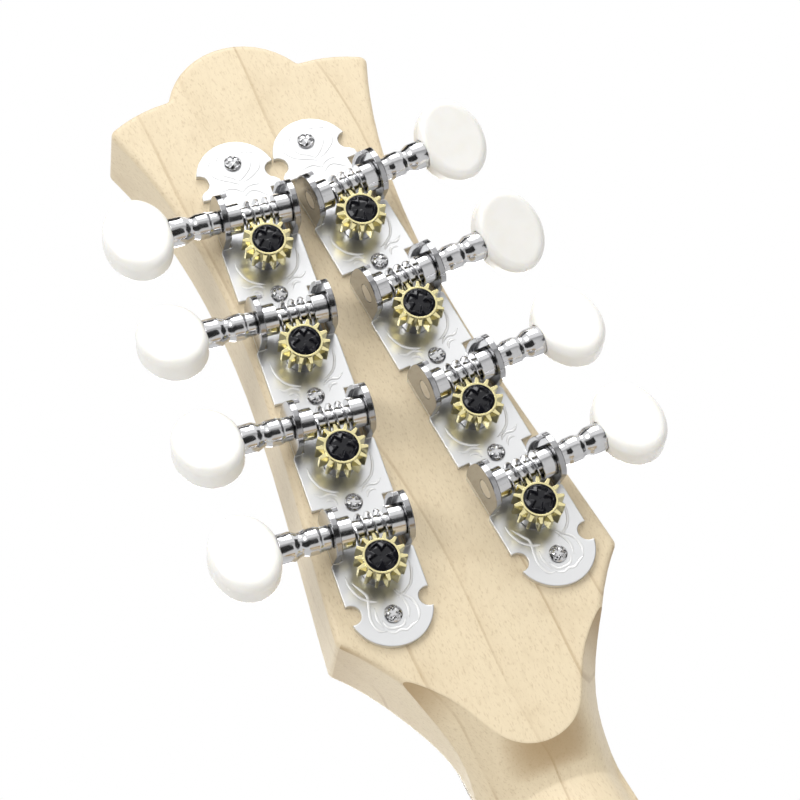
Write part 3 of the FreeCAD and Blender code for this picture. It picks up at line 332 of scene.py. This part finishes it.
forwards = sums(top_tree, "ABSOLUTE", add(top_tree, "SeparateXYZ", {"Vector": facing}).outputs["Y"])
rim = sums(top_tree, "LESS_THAN", forwards, rim_facing)
top_colour = tint(top_tree, rim, top_colour, binding_colour)
top_tree.links.new(top_colour, top_shader.inputs["Base Color"])
dress(top_spruce, "soundboard")


# The metal pieces: nickel-plated bushings pressed into the headstock, string posts and tailpiece, brass
# gears and bridge wheels, and frets of nickel silver driven into the fretboard. Each metal is a little
# cloudy and has fine scratches, and its sharp edges are softened.
metal_cloud_scale, metal_cloud_range, cloud_shade = 420.0, (0.4, 0.75), 0.94
cloud_spread = 0.12
scratch_scale, scratch_depth = 2600.0, 0.000004


def metal(name, colour, roughness, edge_round, metallic=1.0):
    """A polished metal with faint clouds and scratches."""
    finish, tree, shader, place = finish_of(name, colour, roughness, metallic)
    cloud = noise(tree, place, metal_cloud_scale, detail=4.0)
    shade = tuple(cloud_shade * part for part in colour)
    clouded = tint(tree, ramped(tree, cloud, *metal_cloud_range), colour, shade)
    tree.links.new(clouded, shader.inputs["Base Color"])
    uneven(tree, shader, cloud, roughness, cloud_spread)
    soft_edges(tree, shader, edge_round, noise(tree, place, scratch_scale, detail=2.0), scratch_depth)
    return finish, tree, shader, place


nickel = metal("bright_nickel", (0.68, 0.68, 0.69), roughness=0.15, edge_round=0.0002)[0]
brass = metal("cut_brass", (0.81, 0.73, 0.40), roughness=0.15, edge_round=0.00012)[0]
dress(nickel, "post_bushings", "tailpiece")
wire_colour = (0.72, 0.71, 0.68)
dress(metal("fret_wire", wire_colour, roughness=0.22, edge_round=0.0003)[0], "frets")
dress(brass, "bridge_wheel_bass", "bridge_wheel_treble")
tuners_per_side = 4
tags = [name + "_" + str(index + 1) for name in ("bass", "treble") for index in range(tuners_per_side)]
for tag in tags:
    dress(brass, "gear_" + tag)
    dress(nickel, "string_post_" + tag)


# The eight strings, plain steel on the treble side and bronze-wound on the bass side. The winding is fine
# ribs along the string, drawn as relief in the material, which reads how far down a place lies.
winding_pitch, winding_depth = 0.00035, 0.00004
bronze = (0.66, 0.52, 0.34)
string_finish, string_tree, string_shader, string_place = finish_of(
    "string_steel", wire_colour, roughness=0.25, metallic=1.0)
apart = add(string_tree, "SeparateXYZ", {"Vector": string_place}).outputs
heavy = sums(string_tree, "LESS_THAN", apart["X"], 0.0)
wave = sums(string_tree, "SINE", sums(string_tree, "MULTIPLY", apart["Z"], 2 * math.pi / winding_pitch))
winding = add(string_tree, "Bump", {"Height": sums(string_tree, "MULTIPLY", wave, heavy),
                                    "Distance": winding_depth})
string_tree.links.new(winding.outputs["Normal"], string_shader.inputs["Normal"])
string_tree.links.new(tint(string_tree, heavy, wire_colour, bronze), string_shader.inputs["Base Color"])
dress(string_finish, "strings")


# The nut is one piece of polished bone, filed with eight slots and glued against the fretboard's end.
# It is faintly mottled between two warm whites.
bone_light, bone_deep = (0.86, 0.82, 0.70), (0.76, 0.69, 0.52)
bone, bone_tree, bone_shader, bone_place = finish_of("polished_bone", (0.82, 0.77, 0.63), roughness=0.28)
mottle = noise(bone_tree, bone_place, scale=500.0, detail=4.0)
bone_tree.links.new(tint(bone_tree, mottle, bone_light, bone_deep), bone_shader.inputs["Base Color"])
dress(bone, "nut")


# The two tuner strips are pressed from nickel-plated sheet and screwed to the headstock's back. Their faces
# are satin, and the bent-up ears are more polished and darkened by painted shade. A scrolled line ornament is
# raised on each: loops at the rounded top, an arc and two short waves at either side of a gear, a bell shape
# at the foot.
mm = 0.001
plate_face = 0.001
plate_colour, ear_shade_colour = (0.79, 0.795, 0.80), (0.42, 0.42, 0.43)
plate_roughness, ear_roughness = 0.3, 0.14
ear_start, ear_end = 0.0001, 0.0006
joints = {joint["name"]: joint for joint in frame["joints"]}


def frame_at(place, along_x, along_z):
    """A frame from its place and two of its directions."""
    along_y = along_z.cross(along_x)
    turn = Matrix((along_x, along_y, along_z)).transposed().to_4x4()
    return Matrix.Translation(place) @ turn


# A tuner's frame stands at its post on the headstock's back: x to the right seen from behind, y to the
# tip, z out of the back. Its key's frame has x away from the gear and z outwards along the worm shaft.
tuner_frames, key_frames = {}, {}
for tag in tags:
    post, key = joints["post_spin_" + tag], joints["key_spin_" + tag]
    up, outward = Vector(post["axis"]), Vector(key["axis"])
    right = outward if tag.startswith("bass") else -outward
    tuner_frames[tag] = frame_at(Vector(post["pos_m"]), right, up)
    key_frames[tag] = frame_at(Vector(key["pos_m"]), up.cross(right), outward)

# The ornament's lines get a whiter, half-metallic nickel than the strip: a painted highlight that makes them
# look lit.
line_nickel_painted_highlight = metal("line_nickel_painted_highlight", (0.96, 0.96, 0.96), roughness=0.35, edge_round=0.0001, metallic=0.3)[0]
plate_nickel, plate_tree, plate_shader, plate_place = metal(
    "plate_nickel", plate_colour, plate_roughness, edge_round=0.0003)
plate_up = tuner_frames["bass_1"].to_3x3().col[2]
plate_level = tuner_frames["bass_1"].translation.dot(plate_up) + plate_face
above = add(plate_tree, "VectorMath", {0: plate_place, 1: plate_up}, operation="DOT_PRODUCT").outputs["Value"]
# The ears turn darker than the strip's face, as painted shade, and their roughness falls to a polish.
ear = ramped(plate_tree, above, plate_level + ear_start, plate_level + ear_end)
plate_tree.links.new(tint(plate_tree, ear, plate_colour, ear_shade_colour), plate_shader.inputs["Base Color"])
polish = sums(plate_tree, "MULTIPLY_ADD", ear, ear_roughness - plate_roughness, plate_roughness)
plate_tree.links.new(polish, plate_shader.inputs["Roughness"])

# The ornament's lines run through points in millimetres from the strip's first post, and the side lines
# are repeated at every post, on both sides of it.
line_width, line_height = 0.0006, 0.00009
line_lanes = 4
line_tip_share = 0.25
steps_per_run = 5
post_gap = 23.0
lobe_lines = [
    [(0.1, 16.85), (-1.15, 17.8), (-2.7, 18.6), (-4.2, 19.7), (-5.1, 21.5), (-5, 22.6), (-3.65, 23.85)],
    [(0, 17.6), (-0.96, 18.8), (-2.5, 19.9), (-3.15, 21.85), (-3.1, 23.4), (-1.35, 24.8)],
    [(0, 17.6), (1.5, 18.8), (2.9, 20.3), (3.3, 22.2), (2.7, 24), (1.35, 24.6)],
    [(0.8, 17.2), (2.7, 18.2), (4.6, 19.7), (5.2, 21.8), (4.5, 23.6), (3.1, 23.7)],
    [(0, 15.1), (-1, 16.15), (-2.3, 16.5), (-3.85, 16.1)],
    [(0.1, 15.1), (1.1, 16.1), (2.7, 16.4), (3.7, 16.1)],
    [(0.2, 14), (1.5, 15.1), (3.1, 14.7), (4.6, 13.2)]]
foot_lines = [
    [(-5.6, -69.7), (-4.2, -72), (-3.5, -73.5), (-4, -75.9), (-4.3, -78.1), (-3.65, -80.3), (-2.1, -80.9)],
    [(-2.1, -80.9), (-0.8, -81.5), (0.4, -81.2), (1.5, -81.5), (2.7, -80.9), (4.2, -80.3)],
    [(4.2, -80.3), (4.8, -78.5), (4.4, -76.2), (3.1, -74.7), (1.9, -73.2)],
    [(-2.9, -75.8), (-3.1, -78.1), (-2.5, -80.2)],
    [(-2.4, -78.6), (-1.6, -80.3), (-0.2, -80.6), (1.2, -80.4), (2.2, -79.0)],
    [(1.5, -73.2), (2.7, -75.5), (3.1, -77.4), (2.7, -79.3)]]
side_lines = [
    [(-6.2, 0.5), (-6.0, -1.7), (-5, -4), (-3.3, -5.4), (-1.8, -5.9)],
    [(-6.6, -5.1), (-5.3, -6), (-4, -5.8), (-2.9, -6.2), (-2.2, -6.9)],
    [(-4.9, -7.2), (-4.1, -6.9), (-3.3, -7.3), (-2.9, -8.3)]]


def smooth_line(points):
    """A smooth line's places through its points."""
    ends = [2 * points[0] - points[1], *points, 2 * points[-1] - points[-2]]
    places = []
    for run in range(len(points) - 1):
        before, start, end, after = ends[run:run + 4]
        for step in range(steps_per_run):
            t = step / steps_per_run
            bend = (start * 2 + (end - before) * t + (before * 2 - start * 5 + end * 4 - after) * t ** 2
                    + (start * 3 - before - end * 3 + after) * t ** 3)
            places.append(bend / 2)
    return places + [points[-1]]


def raise_line(shell, here, points):
    """One raised line of the ornament, rounded across and tapered to both ends."""
    places = smooth_line([Vector((across * mm, along * mm, 0.0)) for across, along in points])
    last = len(places) - 1
    rows = []
    for number, place in enumerate(places):
        way = (places[min(number + 1, last)] - places[max(number - 1, 0)]).normalized()
        side = Vector((-way.y, way.x, 0.0))
        size = min(1.0, line_tip_share + min(number, last - number) / steps_per_run)
        row = []
        for lane in range(line_lanes + 1):
            angle = math.pi * lane / line_lanes
            edge = place - side * math.cos(angle) * size * line_width / 2
            lift = Vector((0.0, 0.0, plate_face - line_height / 4 + line_height * size * math.sin(angle)))
            row.append(shell.verts.new(here @ (edge + lift)))
        rows.append(row)
    for row, following in zip(rows, rows[1:]):
        for lane in range(line_lanes):
            face = shell.faces.new((row[lane], following[lane], following[lane + 1], row[lane + 1]))
            face.smooth = True
        shell.faces.new((following[0], row[0], row[-1], following[-1]))
    shell.faces.new(rows[0])
    shell.faces.new(reversed(rows[-1]))


for name in ("bass", "treble"):
    dress(plate_nickel, "tuner_plate_" + name)
    ornament = bmesh.new()
    here = tuner_frames[name + "_1"]
    for points in lobe_lines + foot_lines:
        raise_line(ornament, here, points)
    for index in range(tuners_per_side):
        beside_gear = side_lines[:1] if index == tuners_per_side - 1 else side_lines
        for points in beside_gear:
            for way in (-1, 1):
                moved = [(way * across, along - index * post_gap) for across, along in points]
                raise_line(ornament, here, moved)
    bmesh.ops.recalc_face_normals(ornament, faces=ornament.faces)
    make_piece("ornament_" + name, ornament, line_nickel_painted_highlight, "root", "nickel")


# Cross-head screws: ten small domed ones of bright nickel hold the strips to the headstock, and eight large
# blackened ones hold the gears on their posts. A head is a net of rings whose height falls into a flared
# cross, and it ends in a plain shank. The head's proportions are shares of its radius.
screw_sides, screw_rings = 96, 30
arm_share, reach_share, flare_share = 0.17, 0.74, 0.9
wall_share, tip_share, rise_share = 0.10, 0.14, 0.35
dome_power = 2.4
sharp_angle = 50


def skin(shell, rows):
    """A closed smooth skin over rows of points, each row a ring, or one point at either end."""
    made = [[shell.verts.new(point) for point in row] for row in rows]
    for below, above in zip(made, made[1:]):
        sides = max(len(below), len(above))
        for side in range(sides):
            following = side + 1
            corners = (below[side % len(below)], below[following % len(below)],
                       above[following % len(above)], above[side % len(above)])
            shell.faces.new(tuple(dict.fromkeys(corners))).smooth = True


def crease(shell, degrees):
    """Point the faces outwards and keep the edges sharp that turn by more than an angle."""
    bmesh.ops.recalc_face_normals(shell, faces=shell.faces)
    for edge in shell.edges:
        if len(edge.link_faces) == 2 and edge.calc_face_angle() > math.radians(degrees):
            edge.smooth = False


def ring_of(here, radius, height, sides):
    """One row of a round skin in a frame."""
    angles = [2 * math.pi * side / sides for side in range(sides)]
    return [here @ Vector((radius * math.cos(a), radius * math.sin(a), height)) for a in angles]


def eased(value):
    """A share from 0 to 1 with a soft start and end."""
    value = min(1.0, max(0.0, value))
    return value * value * (3 - 2 * value)


def screw(shell, here, seat, turn, radius, height, drum, depth, shank_radius, shank_end):
    """A domed screw with its cross recess, its head standing on a seat's level."""
    half_arm = arm_share * radius
    reach = reach_share * radius
    rows = [[here @ Vector((0.0, 0.0, seat + height - depth))]]
    for ring in range(1, screw_rings + 1):
        share = ring / screw_rings
        out = share * radius
        row = []
        for side in range(screw_sides):
            angle = 2 * math.pi * side / screw_sides
            across, along = abs(out * math.cos(angle - turn)), abs(out * math.sin(angle - turn))
            near, far = min(across, along), max(across, along)
            wall = eased((half_arm * (1.0 + flare_share * far / reach) - near) / (wall_share * radius) + 0.5)
            tip = eased((reach - far) / (tip_share * radius) + 0.5)
            sunk = depth * wall * tip * (1.0 - rise_share * far / reach)
            level = seat + drum + (height - drum) * (1 - share ** dome_power) - sunk
            row.append(here @ Vector((out * math.cos(angle), out * math.sin(angle), level)))
        rows.append(row)
    for outside, level in ((radius, seat), (shank_radius, seat), (shank_radius, shank_end + shank_radius)):
        rows.append(ring_of(here, outside, level, screw_sides))
    rows.append([here @ Vector((0.0, 0.0, shank_end))])
    skin(shell, rows)


small_screw = {"radius": 0.00175, "height": 0.0011, "drum": 0.0003, "depth": 0.0006,
               "shank_radius": 0.0012, "shank_end": -0.009}
small_screw_ups = (0.0219, -0.0086, -0.0316, -0.0546, -0.0779)
small_screw_turns = (0.5, 0.9, 0.2, 1.2, 0.7)
small_screws = bmesh.new()
for name in ("bass", "treble"):
    for up, turn in zip(small_screw_ups, small_screw_turns):
        here = tuner_frames[name + "_1"] @ Matrix.Translation((0.0, up, 0.0))
        screw(small_screws, here, plate_face, turn, **small_screw)
crease(small_screws, sharp_angle)
make_piece("plate_screws_domed", small_screws, nickel, "root", "nickel", "plate_screws")

black_shine, grit_depth = 0.35, 0.000006
black, black_tree, black_shader, black_place = finish_of(
    "black_oxide", (0.008, 0.008, 0.011), roughness=0.12)
black_shader.inputs["Specular IOR Level"].default_value = black_shine
grit = noise(black_tree, black_place, scale=1800.0, detail=3.0)
uneven(black_tree, black_shader, grit, roughness=0.1, spread=0.12)
grain = add(black_tree, "Bump", {"Height": grit, "Distance": grit_depth}).outputs["Normal"]
black_tree.links.new(grain, black_shader.inputs["Normal"])
gear_face = 0.00755
gear_screw = {"radius": 0.00305, "height": 0.0012, "drum": 0.0003, "depth": 0.0010,
              "shank_radius": 0.0013, "shank_end": gear_face - 0.009}
gear_screw_turns = {"bass": (0.9, 0.75, 0.55, 0.8), "treble": (0.95, 0.6, 0.8, 0.5)}
for tag in tags:
    name, number = tag.split("_")
    head = bmesh.new()
    screw(head, tuner_frames[tag], gear_face, gear_screw_turns[name][int(number) - 1], **gear_screw)
    crease(head, sharp_angle)
    make_piece("black_screw_" + tag, head, black, "post_" + tag, "black_steel", "gear_screw_" + tag)


# The eight worm shafts, turned from steel and nickel-plated: journals and collars at the ears, the thread
# between them, and outside a turned neck, a bead, a waist and a flared end that carries the button.
# Each band or curve is a place along the shaft and a radius there, in millimetres.
shaft_bands = ((-7.6, 1.8), (-7.5, 1.9), (-6.35, 1.9), (-6.35, 2.9), (-6.25, 3.0), (-3.6, 3.0), (-3.5, 2.9),
               (-3.5, 1.75), (3.5, 1.75), (3.5, 2.9), (3.6, 3.0), (6.25, 3.0), (6.35, 2.9), (6.35, 1.9),
               (7.65, 1.9), (7.75, 2.2), (7.85, 2.3), (9.25, 2.3))
shaft_curves = ((10.35, 2.6), (11.95, 2.6), (13.3, 2.25), (15.2, 2.9))
shaft_end_bands = ((17.5, 2.9), (17.6, 2.85), (17.6, 1.9), (24.1, 1.9))
shaft_sides = 48
curve_steps = 8
shaft_sharp_angle = 35
shaft_profile = list(shaft_bands)
for place, radius in shaft_curves:
    last_place, last_radius = shaft_profile[-1]
    for step in range(1, curve_steps + 1):
        share = step / curve_steps
        shaft_profile.append((last_place + (place - last_place) * share,
                              last_radius + (radius - last_radius) * eased(share)))
shaft_profile += shaft_end_bands

worm_core, worm_crest = 1.75, 2.95
gear_root, gear_tip, gear_teeth = 3.3, 4.9, 14
thread_pitch = math.pi * (gear_root + gear_tip) / gear_teeth
thread_section = ((1.45, -0.36), (2.78, -0.19), (2.92, -0.11), (worm_crest, 0.0), (2.92, 0.11),
                  (2.78, 0.19), (1.45, 0.36))
thread_turns = 3.6
steps_per_turn = 40
thread_root_sink = 0.1
run_out_turns = 0.2


def worm_shaft(shell, here):
    """One shaft and its thread, about the key frame's z axis."""
    rows = [[here @ Vector((0.0, 0.0, shaft_profile[0][0] * mm))]]
    rows += [ring_of(here, radius * mm, place * mm, shaft_sides) for place, radius in shaft_profile]
    rows += [[here @ Vector((0.0, 0.0, shaft_profile[-1][0] * mm))]]
    skin(shell, rows)
    steps = int(thread_turns * steps_per_turn)
    low = worm_core - thread_root_sink
    sections = []
    for step in range(steps + 1):
        turn = (step / steps - 0.5) * thread_turns
        angle = 2 * math.pi * turn
        whole = eased(min(step, steps - step) / (run_out_turns * steps_per_turn))
        section = []
        for radius, along in thread_section:
            radius = min(radius, low + (worm_crest - low) * whole)
            point = Vector((radius * math.cos(angle), radius * math.sin(angle), turn * thread_pitch + along))
            section.append(here @ (point * mm))
        sections.append(section)
    ends = [[sum(section, Vector()) / len(section)] for section in (sections[0], sections[-1])]
    skin(shell, [ends[0], *sections, ends[1]])


for tag in tags:
    shaft = bmesh.new()
    worm_shaft(shaft, key_frames[tag])
    crease(shaft, shaft_sharp_angle)
    make_piece("turned_shaft_" + tag, shaft, nickel, "key_" + tag, "nickel", "worm_shaft_" + tag)


# The eight buttons are moulded of cream-white plastic, polished, and pushed on the ends of the worm shafts.
# The plastic has a faint cloudiness under its surface.
cream_pale, cream_warm = (0.95, 0.935, 0.895), (0.93, 0.91, 0.855)
cream, cream_tree, cream_shader, cream_place = finish_of(
    "cream_plastic", (0.94, 0.925, 0.88), roughness=0.24)
cream_shader.inputs["Subsurface Weight"].default_value = 0.15
cream_shader.inputs["Subsurface Radius"].default_value = (0.002, 0.0016, 0.001)
cloud = noise(cream_tree, cream_place, scale=260.0, detail=4.0)
clouded = tint(cream_tree, ramped(cream_tree, cloud, low=0.35, high=0.75), cream_pale, cream_warm)
cream_tree.links.new(clouded, cream_shader.inputs["Base Color"])
uneven(cream_tree, cream_shader, cloud, roughness=0.25, spread=0.1)
soft_edges(cream_tree, cream_shader, edge_round=0.0004, height=cloud, depth=0.00002)
for tag in tags:
    dress(cream, "button_" + tag)


# The pearl dots are thin discs of shell, let into the fretboard and sanded all but level with it. One lies
# before each of the fifth, seventh, tenth and fifteenth frets, and two before the twelfth.
scale_length = 0.352
board_face = -0.005
dot_radius = 0.0022
dot_lift, dot_depth = 0.00005, 0.0004
dot_sides = 32
dot_rows = ((5, (0.0,)), (7, (0.0,)), (10, (0.0,)), (12, (-0.007, 0.007)), (15, (0.0,)))
pearl_warm, pearl_cool = (0.88, 0.87, 0.80), (0.62, 0.70, 0.72)
pearl, pearl_tree, pearl_shader, pearl_place = finish_of("pearl", (0.80, 0.80, 0.76), roughness=0.2)
sheen = noise(pearl_tree, pearl_place, scale=380.0, detail=3.0)
pearl_tree.links.new(tint(pearl_tree, sheen, pearl_warm, pearl_cool), pearl_shader.inputs["Base Color"])
across_board, out_of_board = Vector((1.0, 0.0, 0.0)), Vector((0.0, -1.0, 0.0))
dots = bmesh.new()
for fret, acrosses in dot_rows:
    down = scale_length * (2 - 2 ** (-fret / 12) - 2 ** ((1 - fret) / 12)) / 2
    for across in acrosses:
        here = frame_at(Vector((across, board_face, -down)), across_board, out_of_board)
        rows = [ring_of(here, dot_radius, level, dot_sides) for level in (-dot_depth, dot_lift)]
        bottom, top = (here @ Vector((0.0, 0.0, level)) for level in (-dot_depth, dot_lift))
        skin(dots, [[bottom], *rows, [top]])
crease(dots, sharp_angle)
make_piece("fret_dots", dots, pearl, "root", "bone")
